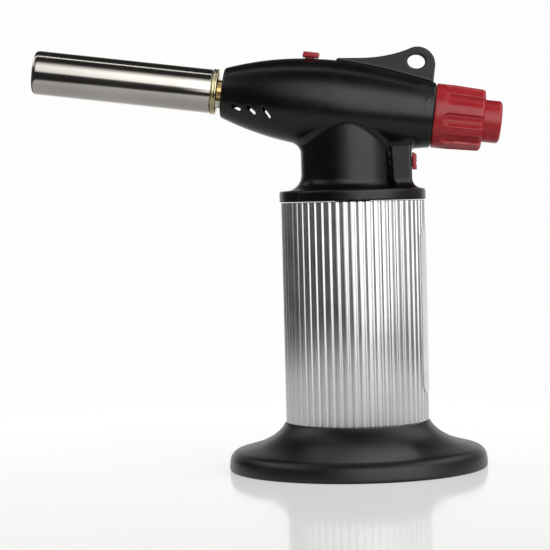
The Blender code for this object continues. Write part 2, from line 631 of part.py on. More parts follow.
def make_knob():
    teeth = bpy.data.objects["knob_gear_teeth"]
    rear = KNOB_FRONT_S - GAP
    hub = turned("knob_gear", [(5.2, 22.5), (5.8, 22.5), (5.8, 26.0), (6.4, 26.5), (6.4, rear), (5.2, rear)],
                 "red_plastic", BURNER, sides=26, axis="X")
    boolean(hub, teeth, "UNION")

    front, rear = KNOB_FRONT_S, KNOB_REAR_S
    outer = [(front, 12.3, 0.0), (front + 0.5, KNOB_R, 0.0), (front + 3.4, KNOB_R, 0.0),
             (front + 4.4, KNOB_R - 0.04, 0.7), (front + 6.4, KNOB_R - 0.12, 1.0),
             (rear - 1.8, 11.95, 1.0), (rear - 0.5, 11.3, 0.7), (rear, 10.2, 0.0)]
    inner = [(rear, BUTTON_R + GAP), (front + 2.0, BUTTON_R + GAP), (front + 2.0, 5.7), (front, 5.7)]
    per_flute = 6
    count = KNOB_FLUTES * per_flute

    def ring(station, radius, cut):
        points = []
        for i in range(count):
            angle = 2 * math.pi * i / count
            across = abs((i % per_flute) - per_flute / 2) / (per_flute / 2)
            dip = max(0.0, 1 - (across / 0.62) ** 2)
            reach = radius - cut * dip
            points.append((station, reach * math.cos(angle), reach * math.sin(angle)))
        return points

    rings = [ring(*row) for row in outer] + [ring(s, r, 0.0) for s, r in inner]
    loft("flame_knob", rings, "red_plastic", BURNER, closed=True, sharp=28.0)


# ---- ignition -------------------------------------------------------------

def make_ignition():
    case = [(0.0, -4.0), (1.0, -4.0), (1.0, -2.0), (3.6, -2.0), (4.4, -1.2), (4.4, 21.0), (4.0, 22.0),
            (2.6, 22.0), (2.6, 12.0), (0.0, 12.0)]
    turned("piezo_igniter", case, "piezo_case", BURNER, sides=24, axis="X")
    plunger = [(0.0, 17.0), (1.9, 17.0), (2.2, 17.4), (2.2, 46.0), (0.0, 46.0)]
    turned("piezo_plunger", plunger, "piezo_case", BURNER, sides=SMALL_ROUND, axis="X")
    rear = BUTTON_REAR_S
    rim = [(height, radius) for radius, height in arc(BUTTON_R - 1.6, rear - 1.6, 1.6, 0, 90, 4)]
    button = [(0.0, 46.3), (3.4, 46.3), (3.4, rear - 2.2), (BUTTON_R - 1.6, rear - 2.2),
              (BUTTON_R - 1.6, 40.2), (BUTTON_R, 40.2)] + [(r, s) for s, r in rim] + [(0.0, rear)]
    turned("ignition_button", button, "red_plastic", BURNER, sides=MID_ROUND, axis="X")
    coil("button_spring", (26.4, 0, 0), (1, 0, 0), 19.6, 2.95, 0.35, 8, "steel", BURNER)


# ---- lock slide and safety catch -----------------------------------------

def make_lock_slide():
    cap = [(-21.0, 17.6), (-14.3, 17.9), (-14.1, 19.3), (-14.4, 19.6), (-20.5, 19.6), (-20.8, 19.3)]
    slide = plate("lock_slide", cap, -4.0, 4.0, "red_plastic", BURNER)
    stem = hidden_block("lock_stem", (-20.0, -2.2, 13.0), (-16.5, 2.2, 18.4), BURNER)
    foot = hidden_block("lock_foot", (-20.9, -4.0, 12.1), (-14.3, 4.0, 13.9), BURNER)
    union([slide, stem, foot])


def make_safety_catch():
    face = [(BOSS_X + GAP, 118.2), (25.5, 118.2), (25.7, 118.5), (25.7, 123.6), (25.0, 124.7),
            (BOSS_X + GAP, 124.7)]
    catch = plate("safety_catch", face, -4.0, 4.0, "red_plastic", GRIP)
    stem = hidden_block("catch_stem", (20.5, -2.2, CATCH_STEM_LOW), (25.1, 2.2, CATCH_STEM_HIGH), GRIP)
    foot = hidden_block("catch_foot", (19.2, -4.0, 118.0), (21.7, 4.0, 124.8), GRIP)
    union([catch, stem, foot])
    coil("catch_spring", (20.45, 0, 112.4), (0, 0, 1), 5.3, 1.3, 0.3, 4, "steel", GRIP)


# ---- assembly -------------------------------------------------------------

def hang_on_axis(axis_name, frame, origin, names):
    """Parents pieces to an empty on their joint's axis, without moving them."""
    empty = bpy.data.objects.new(axis_name, None)
    bpy.context.scene.collection.objects.link(empty)
    empty.matrix_world = frame @ Matrix.Translation(Vector(origin) * MM)
    bpy.context.view_layer.update()
    for name in names:
        piece = bpy.data.objects[name]
        placed = piece.matrix_world.copy()
        piece.parent = empty
        piece.matrix_parent_inverse = empty.matrix_world.inverted()
        piece.matrix_world = placed


def build():
    for old in list(bpy.data.objects):
        bpy.data.objects.remove(old, do_unlink=True)
    make_base()
    make_tank()
    make_filler_valve()
    make_grip()
    make_housing("near", -1)
    make_housing("far", 1)
    make_housing_screws()
    make_burner()
    make_electrode()
    make_valve()
    make_knob()
    make_ignition()
    make_lock_slide()
    make_safety_catch()
    hang_on_axis("knob_axis", BURNER, (KNOB_FRONT_S, 0, 0), ["flame_knob", "knob_gear"])
    hang_on_axis("spindle_axis", BURNER, (0, 0, VALVE_T), ["valve_spindle", "valve_pinion"])
    hang_on_axis("button_axis", BURNER, (BUTTON_REAR_S, 0, 0),
                 ["ignition_button", "piezo_plunger", "button_spring"])
    hang_on_axis("lock_axis", BURNER, (-17.6, 0, 17.7), ["lock_slide"])
    hang_on_axis("catch_axis", GRIP, (BOSS_X, 0, 121.3), ["safety_catch"])
    hang_on_axis("stem_axis", GRIP, (0, 0, 12.2), ["filler_stem"])


build()
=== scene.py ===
"""Looks of the butane torch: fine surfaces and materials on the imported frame.

Lengths are millimetres in the row frame; MM turns them into Blender's metres.
"""
import json
import math

import bmesh
import bpy
import numpy as np
from mathutils import Matrix, Vector


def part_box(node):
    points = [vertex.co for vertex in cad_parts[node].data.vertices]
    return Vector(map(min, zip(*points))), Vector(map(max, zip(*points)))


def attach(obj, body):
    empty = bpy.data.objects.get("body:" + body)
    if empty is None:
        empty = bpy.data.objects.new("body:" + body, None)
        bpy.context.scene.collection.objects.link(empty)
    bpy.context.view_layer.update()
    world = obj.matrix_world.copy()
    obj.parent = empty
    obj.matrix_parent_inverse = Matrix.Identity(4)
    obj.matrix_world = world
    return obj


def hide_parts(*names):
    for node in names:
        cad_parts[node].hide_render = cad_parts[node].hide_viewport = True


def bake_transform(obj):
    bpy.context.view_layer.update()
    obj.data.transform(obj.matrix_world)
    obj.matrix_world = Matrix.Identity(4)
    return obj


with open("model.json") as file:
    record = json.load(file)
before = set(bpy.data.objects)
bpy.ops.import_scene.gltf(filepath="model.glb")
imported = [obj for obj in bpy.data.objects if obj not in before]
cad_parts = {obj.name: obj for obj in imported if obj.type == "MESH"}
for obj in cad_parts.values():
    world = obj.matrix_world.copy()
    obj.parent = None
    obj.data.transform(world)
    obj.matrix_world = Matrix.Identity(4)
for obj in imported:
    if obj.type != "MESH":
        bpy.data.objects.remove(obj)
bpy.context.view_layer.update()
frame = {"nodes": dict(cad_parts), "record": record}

MM = 0.001


# ---- the frame's places ---------------------------------------------------

def joint(name):
    """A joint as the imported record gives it."""
    return next(j for j in frame["record"]["behaviour"]["joints"] if j["name"] == name)


def node_box(node):
    """A node's lowest and highest corners in millimetres."""
    low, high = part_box(node)
    return np.array(low) / MM, np.array(high) / MM


sleeve_low, sleeve_high = node_box("grip_sleeve")
base_low, base_high = node_box("base_foot")
GRIP_X = (sleeve_low[0] + sleeve_high[0]) / 2
SLEEVE_R = (sleeve_high[0] - sleeve_low[0]) / 2
BASE_R = (base_high[0] - base_low[0]) / 2
BASE_TOP = base_high[2]

# the burner axis runs from the nozzle to the knob; s is 0 where it crosses the grip's axis
knob_turn = joint("knob_turn")
ALONG = np.array(knob_turn["axis"])
KNOB_PLACE = np.array(knob_turn["pos_m"]) / MM
KNOB_FRONT_S = (KNOB_PLACE[0] - GRIP_X) / ALONG[0]
AXIS_Z = KNOB_PLACE[2] - KNOB_FRONT_S * ALONG[2]
TILT = math.atan2(-ALONG[2], ALONG[0])
COS, SIN = math.cos(TILT), math.sin(TILT)


def burner_to_row(points):
    """Turns (s, y, t) rows into row-frame millimetres."""
    s, y, t = np.asarray(points, float).T
    return np.stack([GRIP_X + s * COS + t * SIN, y, AXIS_Z - s * SIN + t * COS], axis=1)


def grip_to_row(points):
    """Turns (x, y, z) rows that are centred on the grip's axis into the row frame."""
    return np.asarray(points, float) + np.array([GRIP_X, 0.0, 0.0])


# ---- mesh tools -----------------------------------------------------------

def arc(cx, cy, radius, start, end, steps):
    """Points on a circle from one angle to another, in degrees."""
    turn = (math.radians(start + (end - start) * i / steps) for i in range(steps + 1))
    return [(cx + radius * math.cos(a), cy + radius * math.sin(a)) for a in turn]


def bend(start, control, end, steps):
    """A quadratic curve between two points."""
    t = np.linspace(0, 1, steps + 1)[:, None]
    a, b, c = (np.array(p, float) for p in (start, control, end))
    return [tuple(p) for p in (1 - t) ** 2 * a + 2 * t * (1 - t) * b + t ** 2 * c]


def rounded(outline, radius, steps=4):
    """Rounds the corners of an open outline; radius is one value or one for each point."""
    radii = radius if isinstance(radius, (list, tuple)) else [radius] * len(outline)
    points = [np.array(p, float) for p in outline]
    made = [tuple(points[0])]
    for before, here, after, r in zip(points, points[1:], points[2:], radii[1:]):
        back, ahead = before - here, after - here
        far_back, far_ahead = np.linalg.norm(back), np.linalg.norm(ahead)
        cut = min(r, far_back * 0.48, far_ahead * 0.48)
        if cut < 1e-6:
            made.append(tuple(here))
            continue
        made += bend(here + back / far_back * cut, here, here + ahead / far_ahead * cut, steps)
    made.append(tuple(points[-1]))
    return made


def mesh_piece(name, points, faces, look, body="torch", nodes=(), sharp=40.0):
    """A named piece from row-frame millimetres, shaded smooth, riding on a body."""
    mesh = bpy.data.meshes.new(name)
    mesh.from_pydata((np.asarray(points) * MM).tolist(), [], [list(map(int, f)) for f in faces])
    data = bmesh.new()
    data.from_mesh(mesh)
    bmesh.ops.remove_doubles(data, verts=data.verts, dist=1e-7)
    bmesh.ops.recalc_face_normals(data, faces=data.faces)
    data.to_mesh(mesh)
    data.free()
    mesh.shade_smooth()
    mesh.set_sharp_from_angle(angle=math.radians(sharp))
    piece = bpy.data.objects.new(name, mesh)
    bpy.context.scene.collection.objects.link(piece)
    if look:
        mesh.materials.append(look)
    if body:
        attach(piece, body)
    if nodes:
        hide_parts(*nodes)
    return piece


def grid_faces(rows, columns, wrap_rows):
    """Quads between neighbouring rows of points; each row is a ring."""
    faces = []
    for i in range(rows if wrap_rows else rows - 1):
        for j in range(columns):
            k, m = (i + 1) % rows, (j + 1) % columns
            faces.append((i * columns + j, i * columns + m, k * columns + m, k * columns + j))
    return faces


def turned(profile, sides, along_burner=False):
    """Points and faces of a profile of (radius, height) turned round the grip's or the burner's axis."""
    angle = np.linspace(0, 2 * math.pi, sides, endpoint=False)
    solid = profile[0][0] < 1e-9 and profile[-1][0] < 1e-9
    rows = [np.stack([r * np.cos(angle), r * np.sin(angle), np.full(sides, h)], axis=1) for r, h in profile]
    points = np.concatenate(rows)
    if along_burner:
        points = burner_to_row(points[:, [2, 0, 1]])
    else:
        points = grip_to_row(points)
    return points, grid_faces(len(profile), sides, wrap_rows=not solid)


# ---- fields: smooth solids as distances, meshed on a fine grid ------------

def blend_union(a, b, radius):
    """The union of two distances with a round fillet between them."""
    return (np.maximum(radius, np.minimum(a, b))
            - np.hypot(np.maximum(radius - a, 0), np.maximum(radius - b, 0)))


def blend_common(a, b, radius):
    """What two distances share, with its edge rounded."""
    return (np.minimum(-radius, np.maximum(a, b))
            + np.hypot(np.maximum(radius + a, 0), np.maximum(radius + b, 0)))


def gradient(field, points, step=0.02):
    """The direction in which a field grows, by central differences."""
    columns = []
    for k in range(3):
        shift = np.zeros(3)
        shift[k] = step
        columns.append((field(*(points + shift).T) - field(*(points - shift).T)) / (2 * step))
    return np.stack(columns, axis=1)


def onto(field, points, where, limit):
    """Moves the chosen points on to a field's surface, by no more than limit."""
    if not where.any():
        return
    chosen = points[where]
    value = field(*chosen.T)
    slope = gradient(field, chosen)
    size = np.maximum((slope ** 2).sum(axis=1), 0.25)
    move = -slope * (value / size)[:, None]
    length = np.linalg.norm(move, axis=1)
    points[where] = chosen + move * np.minimum(1, limit / np.maximum(length, 1e-9))[:, None]


def skin(fields, low, high, cell):
    """The surface of what all the fields share, with sharp edges where two of them meet.

    Each grid cell that the surface passes through gets one point, at the middle of its
    crossings, and each crossed grid edge a quad of its four cells.
    """
    axes = [np.arange(a, b + cell, cell) for a, b in zip(low, high)]
    grid = np.meshgrid(*axes, indexing="ij")
    value = fields[0](*grid)
    for field in fields[1:]:
        value = np.maximum(value, field(*grid))
    size = [len(a) - 1 for a in axes]

    def corner(array, offset):
        return array[tuple(slice(o, o + n) for o, n in zip(offset, size))]

    inside = value < 0
    corners = [(i, j, k) for i in (0, 1) for j in (0, 1) for k in (0, 1)]
    count = sum(corner(inside, c).astype(np.int8) for c in corners)
    mixed = (count > 0) & (count < 8)
    cells = np.argwhere(mixed)
    number = np.full(mixed.shape, -1)
    number[mixed] = np.arange(len(cells))
    total, hits = np.zeros((len(cells), 3)), np.zeros(len(cells))
    for a in corners:
        for k in range(3):
            if a[k]:
                continue
            b = tuple(v + (n == k) for n, v in enumerate(a))
            va, vb = corner(value, a)[mixed], corner(value, b)[mixed]
            crossed = (va < 0) != (vb < 0)
            share = np.where(crossed, va / np.where(crossed, va - vb, 1), 0)
            place = np.tile(np.array(a, float), (len(cells), 1))
            place[:, k] = share
            total[crossed] += place[crossed]
            hits[crossed] += 1
    points = (cells + total / hits[:, None]) * cell + np.array([a[0] for a in axes])

    for _ in range(3):
        values = np.stack([field(*points.T) for field in fields])
        for field, own in zip(fields, values):
            onto(field, points, (np.abs(own) < cell * 0.5) | (own == values.max(axis=0)), cell * 0.7)

    faces = []
    for k in range(3):
        i, j = [n for n in range(3) if n != k]
        here = [slice(1, -1)] * 3
        here[k] = slice(None, -1)
        ahead = list(here)
        ahead[k] = slice(1, None)
        first, second = inside[tuple(here)], inside[tuple(ahead)]
        crossed = np.argwhere(first != second)
        solid_first = first[tuple(crossed.T)]
        base = crossed.copy()
        base[:, i] += 1
        base[:, j] += 1
        corner_ids = []
        for di, dj in ((1, 1), (0, 1), (0, 0), (1, 0)):
            at = base.copy()
            at[:, i] -= di
            at[:, j] -= dj
            corner_ids.append(number[tuple(at.T)])
        quads = np.stack(corner_ids, axis=1)
        turn = solid_first if k != 1 else ~solid_first
        quads[~turn] = quads[~turn][:, ::-1]
        faces.append(quads)
    return points, np.concatenate(faces)


# ---- materials ------------------------------------------------------------

def node(tree, kind, values=(), **settings):
    """Adds a node with its inputs set or linked; an input is named or numbered."""
    made = tree.nodes.new("ShaderNode" + kind)
    for key, value in settings.items():
        setattr(made, key, value)
    for key, value in dict(values).items():
        if isinstance(value, bpy.types.NodeSocket):
            tree.links.new(value, made.inputs[key])
        else:
            made.inputs[key].default_value = value
    return made


def scaled(tree, value, low, high, to_low, to_high):
    """Maps a value smoothly from one range to another."""
    made = node(tree, "MapRange", {0: value, 1: low, 2: high, 3: to_low, 4: to_high},
                interpolation_type="SMOOTHSTEP")
    return made.outputs[0]


def tinted(tree, share, low, high):
    """A colour between two others."""
    made = node(tree, "Mix", {0: share, 6: (*low, 1), 7: (*high, 1)}, data_type="RGBA")
    return made.outputs[2]


def mixed(tree, share, low, high):
    """Like tinted, with colours that come from other nodes."""
    values = {0: share, 6: low if not isinstance(low, tuple) else (*low, 1),
              7: high if not isinstance(high, tuple) else (*high, 1)}
    return node(tree, "Mix", values, data_type="RGBA").outputs[2]


def noise(tree, where, size, detail=3.0, rough=0.55):
    """Noise whose lumps are about size millimetres across."""
    return node(tree, "TexNoise", {"Vector": where, "Scale": 1 / (size * MM), "Detail": detail,
                                   "Roughness": rough}).outputs[0]


def finish(name, color, rough, metallic=0.0, blotch=9.0, vary=0.12, grain=0.3, height=0.004,
           rough_vary=0.06, streak=None, streak_tilt=0.0, wear=None, **sockets):
    """A surface with blotches, fine grain and worn edges.

    grain and blotch are sizes in millimetres; streak stretches the grain by so many times
    along Z, which streak_tilt turns about Y; wear is a colour for the exposed edges.
    """
    made = bpy.data.materials.new(name)
    made.use_nodes = True
    tree = made.node_tree
    shader = tree.nodes["Principled BSDF"]
    place = node(tree, "TexCoord").outputs["Object"]
    big = noise(tree, place, blotch)
    fine_place = place
    if streak:
        turned_place = node(tree, "Mapping", {"Vector": place, "Rotation": (0, streak_tilt, 0)})
        fine_place = node(tree, "Mapping", {"Vector": turned_place.outputs[0],
                                            "Scale": (1, 1, 1 / streak)}).outputs[0]
    fine = noise(tree, fine_place, grain, detail=2.0)
    dark = tuple(c * (1 - vary) for c in color)
    light = tuple(min(1.0, c * (1 + vary)) for c in color)
    tone = tinted(tree, scaled(tree, big, 0.3, 0.7, 0, 1), dark, light)
    roughness = node(tree, "Math", {0: scaled(tree, fine, 0.3, 0.7, -rough_vary, rough_vary),
                                    1: scaled(tree, big, 0.3, 0.7, rough - rough_vary / 2,
                                              rough + rough_vary / 2)}, operation="ADD").outputs[0]
    if wear:
        ridge = node(tree, "NewGeometry").outputs["Pointiness"]
        edge = node(tree, "Math", {0: scaled(tree, ridge, 0.515, 0.58, 0, 1),
                                   1: scaled(tree, noise(tree, place, 2.2), 0.35, 0.65, 0.15, 1)},
                    operation="MULTIPLY").outputs[0]
        tone = mixed(tree, edge, tone, wear)
    tree.links.new(tone, shader.inputs["Base Color"])
    tree.links.new(roughness, shader.inputs["Roughness"])
    bump = node(tree, "Bump", {"Height": fine, "Strength": 1.0, "Distance": height * MM})
    tree.links.new(bump.outputs[0], shader.inputs["Normal"])
    shader.inputs["Metallic"].default_value = metallic
    for socket, value in sockets.items():
        shader.inputs[socket.replace("_", " ")].default_value = value
    return made


LOOKS = {
    "black_plastic": finish("moulded_black", (0.0022, 0.0022, 0.0029), 0.30, grain=0.22, height=0.005,
                            wear=(0.016, 0.016, 0.018)),
    "base_plastic": finish("moulded_black_base", (0.0034, 0.0034, 0.0042), 0.36, grain=0.25, height=0.007,
                           blotch=16.0, wear=(0.016, 0.016, 0.018)),
    "red_plastic": finish("moulded_red", (0.43, 0.013, 0.022), 0.33, grain=0.25, height=0.004, vary=0.08,
                          wear=(0.62, 0.12, 0.12), Coat_Weight=0.15, Coat_Roughness=0.25),
    "ribbed_aluminium": finish("drawn_aluminium", (0.66, 0.66, 0.675), 0.29, 1.0, grain=0.10,
                               height=0.0006, streak=900.0, vary=0.04, blotch=22.0, rough_vary=0.04),
    "burner_steel": finish("burner_stainless", (0.66, 0.635, 0.60), 0.13, 1.0, grain=0.15, height=0.0004,
                           streak=60.0, streak_tilt=math.radians(90) - TILT, vary=0.05, rough_vary=0.03,
                           blotch=30.0),
    "nickel": finish("passivated_zinc", (0.74, 0.68, 0.44), 0.20, 1.0, blotch=3.0, vary=0.10, height=0.001),
    "brass": finish("brass", (0.78, 0.58, 0.27), 0.27, 1.0, blotch=3.0, vary=0.10, height=0.001),
    "steel": finish("bright_steel", (0.58, 0.58, 0.59), 0.30, 1.0, blotch=3.0, height=0.001),
    "label_film": finish("label_film", (0.80, 0.80, 0.81), 0.32, blotch=12.0, vary=0.04, grain=0.15,
                         height=0.001),
    "tank_plastic": finish("tank_nylon", (0.60, 0.60, 0.58), 0.42, vary=0.05, height=0.003,
                           Subsurface_Weight=0.2),
    "seal_rubber": finish("seal_rubber", (0.012, 0.012, 0.012), 0.70, grain=0.15, height=0.006),
    "ceramic": finish("glazed_ceramic", (0.74, 0.73, 0.69), 0.28, grain=0.4, height=0.003, vary=0.05,
                      blotch=2.0),
    "piezo_case": finish("piezo_case", (0.05, 0.055, 0.09), 0.42, height=0.004),
    "lead_sleeve": finish("lead_sleeve", (0.06, 0.010, 0.008), 0.55, grain=0.5, height=0.01),
}


# ---- the head's two halves ------------------------------------------------

SHELL = 2.2                    # wall of the halves
SPLIT = 0.07                   # half of the gap at the parting line
HEAD_FRONT_S = -51.3
HEAD_REAR_S = 33.0
NECK_X = -1.6                  # the neck's middle, ahead of the grip's
NECK_HALF_X = 18.6
NECK_HALF_Y = 15.8
COLLAR_R = 29.1
COLLAR_LOW = 106.4
COLLAR_HIGH = 110.8
BOSS_HALF_W = 8.7
BOSS_X = 23.8
BOSS_LOW = 108.0
BOSS_HIGH = 134.0
TAB_HALF_T = 2.0
EYE = (24.6, 19.3, 7.1)        # the tab's round end: s, t, radius
CELL = 0.42                    # grid of the fields
SCREWS = [("burner", -30.0, 9.3), ("burner", 14.0, 10.0), ("grip", -13.0, 119.0), ("grip", 12.0, 119.0)]

head_curve = np.array(bend((HEAD_FRONT_S, 9.8), (-31.0, 17.4), (-9.0, 17.6), 200)
                      + bend((-9.0, 17.6), (6.0, 17.8), (HEAD_REAR_S, 12.8), 200)[1:])
head_slope = np.gradient(head_curve[:, 1], head_curve[:, 0])
crown_end = (EYE[0] + EYE[2] * math.cos(math.radians(120)), EYE[1] + EYE[2] * math.sin(math.radians(120)))
tab_curve = np.array([(-7.4, 18.5)] + bend((-0.6, 19.25), (12.0, 20.4), crown_end, 120))
tab_slope = np.gradient(tab_curve[:, 1], tab_curve[:, 0])


def to_burner(x, z):
    """The (s, t) of row-frame points."""
    return ((x - GRIP_X) * COS - (z - AXIS_Z) * SIN, (x - GRIP_X) * SIN + (z - AXIS_Z) * COS)


def box_distance(a, b, c, low, high):
    """Distance to a box with sharp edges; a, b and c are the coordinates."""
    return np.maximum.reduce([low[0] - a, a - high[0], low[1] - b, b - high[1], low[2] - c, c - high[2]])


def head_distance(s, y, t, inset=0.0):
    """Distance to the turned body of the head, or to that shape drawn in by inset."""
    radius = np.interp(s, head_curve[:, 0], head_curve[:, 1])
    slope = np.interp(s, head_curve[:, 0], head_slope)
    return (np.hypot(y, t) - radius) / np.sqrt(1 + slope ** 2) + inset


def neck_distance(x, y):
    """Distance to the oval neck, near its surface."""
    across = (x - GRIP_X - NECK_X) / NECK_HALF_X, y / NECK_HALF_Y
    near = np.hypot(*across)
    steep = np.hypot(across[0] / NECK_HALF_X, across[1] / NECK_HALF_Y)
    return near * (near - 1) / np.maximum(steep, 1e-6)


def boss_distance(x, y, z):
    """The raised back of the neck, with rounded upright edges and a curved foot."""
    front = 15.4 + 0.05 * (130.0 - z) + 2.5 * np.clip((115.0 - z) / 3.4, 0, 1) ** 2
    side = blend_common(np.abs(y) - BOSS_HALF_W, x - GRIP_X - BOSS_X, 1.1)
    side = blend_common(side, GRIP_X + front - x, 0.5)
    return np.maximum.reduce([side, BOSS_LOW - z, z - BOSS_HIGH])


def tab_distance(s, y, t):
    """Distance to the hanging tab: a ramp that runs up into a round end."""
    eye = np.hypot(s - EYE[0], t - EYE[1]) - EYE[2]
    top = np.interp(s, tab_curve[:, 0], tab_curve[:, 1])
    slope = np.interp(s, tab_curve[:, 0], tab_slope)
    ramp = np.maximum((t - top) / np.sqrt(1 + slope ** 2), s - crown_end[0])
    ramp = blend_common(ramp, tab_curve[0, 0] - s, 0.5)
    block = np.maximum.reduce([t - EYE[1], s - EYE[0] - EYE[2], 17.0 - s])
    flat = np.maximum(np.minimum.reduce([eye, ramp, block]), 9.0 - t)
    return blend_common(flat, np.abs(y) - TAB_HALF_T, 0.45)


def slot_distance(s, t):
    """The three slanted air slots, as bars with round ends, each thinner and shorter than its place."""
    half_w, lean, thin, short = 1.0, 2.2, 0.6, 0.62
    nearest = None
    for i in range(3):
        middle, low, high = -45.4 + 6.1 * i, -7.2 - 0.95 * i, -3.4 + 0.6 * i
        start = np.array([middle + lean, low + half_w])
        run = short * (np.array([middle - lean, high - half_w]) - start)
        share = ((s - start[0]) * run[0] + (t - start[1]) * run[1]) / (run @ run)
        share = np.clip(share, 0, 1)
        distance = np.hypot(s - start[0] - share * run[0], t - start[1] - share * run[1]) - half_w * thin
        nearest = distance if nearest is None else np.minimum(nearest, distance)
    return nearest


def moulded_marks(s, y, t):
    """A raised crescent and a dash by the knob, on both sides: which way the flame grows."""
    turn = np.degrees(np.arctan2(t, np.abs(y)))
    middle = (turn - 12.0) / 19.0
    crescent_w = 0.55 * np.clip(1 - middle ** 2, 0, 1) * (0.75 + 0.25 * np.clip(middle, -1, 1))
    crescent = np.abs(s - 29.6 - 0.9 * middle ** 2) - crescent_w
    dash = np.maximum(np.abs(s - 27.6) - 0.75, (np.abs(turn + 37.0) - 1.1) * 0.23)
    cross = np.maximum(np.abs(s - 27.6) - 0.22, (np.abs(turn - 52.0) - 3.2) * 0.23)
    cross = np.minimum(cross, np.maximum(np.abs(s - 27.6) - 0.75, (np.abs(turn - 52.0) - 1.1) * 0.23))
    return np.minimum.reduce([crescent, dash, cross])


def outer_field(x, y, z):
    """The outside of the head, from its front to its rear, with its collar and its tab."""
    s, t = to_burner(x, z)
    raised = 0.16 * np.clip(-moulded_marks(s, y, t) / 0.16, 0, 1)
    head = head_distance(s, y, t) - np.where(s > 24, raised, 0)
    head = blend_common(head, HEAD_FRONT_S - s, 0.7)
    head = blend_common(head, s - HEAD_REAR_S, 0.45)
    neck = np.maximum(neck_distance(x, y), z - AXIS_Z)
    stem = np.maximum(neck, COLLAR_LOW - z)
    collar = blend_common(np.hypot(x - GRIP_X, y) - COLLAR_R, z - COLLAR_HIGH, 1.1)
    corner = 0.35 + 3.2 * np.clip(1 - (y / NECK_HALF_Y) ** 2, 0, 1)
    solid = blend_union(head, stem, corner)
    solid = blend_union(solid, boss_distance(x, y, z), 1.5)
    solid = blend_union(solid, collar, 4.0 + 2.5 * np.clip((GRIP_X - x) / 20.0, 0, 1))
    solid = blend_common(solid, COLLAR_LOW - z, 0.3)
    solid = blend_union(solid, tab_distance(s, y, t), 0.7)
    hole = 2.75 * (np.hypot((s - 24.0) / 3.5, (t - 20.4) / 2.75) - 1)
    solid = blend_common(solid, -hole, 0.4)
    return blend_common(solid, -slot_distance(s, t), 0.3)


def cavity_field(x, y, z):
    """What the halves enclose: the burner's chamber, the middle and the neck."""
    s, t = to_burner(x, z)
    around = np.hypot(y, t)
    head = np.maximum.reduce([head_distance(s, y, t, SHELL), -48.6 - s, s - HEAD_REAR_S + SHELL])
    nose = np.maximum(around - 8.5, s + 45.0)
    tail = np.maximum(around - 6.8, 28.0 - s)
    neck = np.maximum(neck_distance(x, y) + SHELL, z - AXIS_Z + 5)
    boss = box_distance(x, y, z, (GRIP_X + 18.0, SHELL - BOSS_HALF_W, 115.2),
                        (GRIP_X + BOSS_X - SHELL, BOSS_HALF_W - SHELL, 131.0))
    gate = box_distance(x, y, z, (GRIP_X + 8.0, -3.0, 115.2), (GRIP_X + 19.0, 3.0, 131.0))
    hollow = np.minimum.reduce([head, nose, tail, neck, boss, gate])
    wall = np.maximum(np.abs(s + 26.0) - 1.0, 5.2 - around)
    solid = wall
    for where, a, b in SCREWS:
        across = np.hypot(s - a, t - b) if where == "burner" else np.hypot(x - GRIP_X - a, z - b)
        solid = np.minimum(solid, across - 3.8)
    hollow = np.maximum(hollow, -solid)
    lead = np.maximum(np.hypot(y + 5.6, t + 3.4) - 1.3, np.abs(s + 26.0) - 2.0)
    return np.minimum(hollow, lead)


def screw_field(x, y, z, sink):
    """The screws' bores, and on the far half the recesses for their heads."""
    s, t = to_burner(x, z)
    holes = None
    for where, a, b in SCREWS:
        across = np.hypot(s - a, t - b) if where == "burner" else np.hypot(x - GRIP_X - a, z - b)
        bore = np.maximum(across - 1.45, -8.0 - y)
        if sink:
            bore = np.minimum(bore, np.maximum(across - 2.75, 6.0 - y))
        holes = bore if holes is None else np.minimum(holes, bore)
    return holes


def ways_field(x, y, z):
    """The ways of the lock slide, through the top, and of the safety catch, through the boss."""
    s, t = to_burner(x, z)
    lock = box_distance(s, y, t, (-20.4, -2.6, 12.0), (-12.1, 2.6, 19.0))
    catch = box_distance(x - GRIP_X, y, z, (21.0, -2.5, 116.4), (26.0, 2.5, 123.7))
    return np.minimum(lock, catch)


def make_housing(side, sign):
    """One half of the head; sign is that of the side's y."""
    fields = [outer_field,
              lambda x, y, z: -cavity_field(x, y, z),
              lambda x, y, z: SPLIT - sign * y,
              lambda x, y, z: -ways_field(x, y, z),
              lambda x, y, z: -screw_field(x, y, z, sink=sign > 0)]
    reach = COLLAR_R + 1.0
    low = (GRIP_X - 53.0, -0.6 if sign > 0 else -reach, COLLAR_LOW - 1.0)
    high = (GRIP_X + 35.5, reach if sign > 0 else 0.6, 172.0)
    points, faces = skin(fields, low, high, CELL)
    mesh_piece(f"head_shell_{side}", points, faces, LOOKS["black_plastic"], nodes=[f"housing_{side}"],
               sharp=38.0)


# ---- grip, base and label -------------------------------------------------

RIBS = 56


